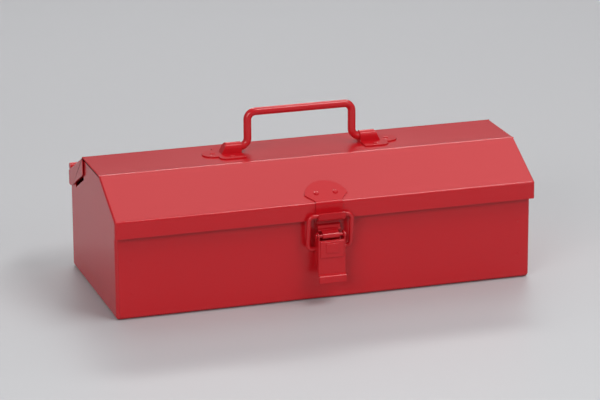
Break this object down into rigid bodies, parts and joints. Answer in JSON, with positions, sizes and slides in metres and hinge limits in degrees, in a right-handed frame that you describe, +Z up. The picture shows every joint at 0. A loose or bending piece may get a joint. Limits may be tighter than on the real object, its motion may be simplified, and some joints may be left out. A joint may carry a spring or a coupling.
{
  "type": "toolbox with tray",
  "caption": "Long steel toolbox with a mountain-shaped hinged lid, a folding carry handle, a draw latch and a lift-out tray.",
  "frame": {"origin": "centre of the body's underside, on the surface that the box stands on", "axes": "+X along the length, +Y to the hinge side, +Z up"},
  "size_m": [0.373, 0.1815, 0.1529],
  "materials": {
    "red_enamel": "gloss baked enamel",
    "zinc_steel": "zinc plated, satin"
  },
  "bodies": {
    "box": {"bottom_sheet": "red_enamel", "floor_edge_front": "red_enamel", "floor_edge_back": "red_enamel", "end_wall_left": "red_enamel", "end_wall_right": "red_enamel", "front_panel": "red_enamel", "back_panel": "red_enamel", "tray_ledge_left": "red_enamel", "tray_ledge_right": "red_enamel", "hinge_body_leaf": "red_enamel", "hinge_pin": "red_enamel", "latch_base": "red_enamel", "latch_base_rivets": "red_enamel", "lever_pin": "red_enamel"},
    "lid": {"lid_shell": "red_enamel", "hinge_lid_leaf": "red_enamel", "keeper_plate": "red_enamel", "keeper_rivets": "red_enamel", "handle_bracket_left": "red_enamel", "handle_bracket_right": "red_enamel", "bracket_rivets": "red_enamel"},
    "carry_handle": {"carry_handle": "red_enamel"},
    "latch_lever": {"latch_lever": "red_enamel"},
    "latch_loop": {"latch_loop": "red_enamel"},
    "tray": {"tray_pan": "red_enamel", "tray_end_left": "red_enamel", "tray_end_right": "red_enamel", "tray_divider": "red_enamel", "tray_grip": "zinc_steel", "tray_grip_clips": "red_enamel"}
  },
  "joints": [
    {"name": "lid_hinge", "type": "hinge", "parent": "box", "child": "lid", "pos_m": [0, 0.08226, 0.08966], "axis": [-1, 0, 0], "range_deg": [0, 105]},
    {"name": "handle_swing", "type": "hinge", "parent": "lid", "child": "carry_handle", "pos_m": [0, -0.00325, 0.11923], "axis": [1, 0, 0], "range_deg": [-90, 90]},
    {"name": "lever_swing", "type": "hinge", "parent": "box", "child": "latch_lever", "pos_m": [0, -0.0885, 0.0596], "axis": [-1, 0, 0], "range_deg": [0, 80]},
    {"name": "loop_swing", "type": "hinge", "parent": "latch_lever", "child": "latch_loop", "pos_m": [0, -0.0845, 0.0476], "axis": [-1, 0, 0], "range_deg": [-52, 0]},
    {"name": "tray_lift", "type": "slide", "parent": "box", "child": "tray", "axis": [0, 0, 1], "range_m": [0, 0.01]}
  ],
  "couplings": [
    {"joint": "loop_swing", "follows": "lever_swing", "ratio": -0.64}
  ]
}
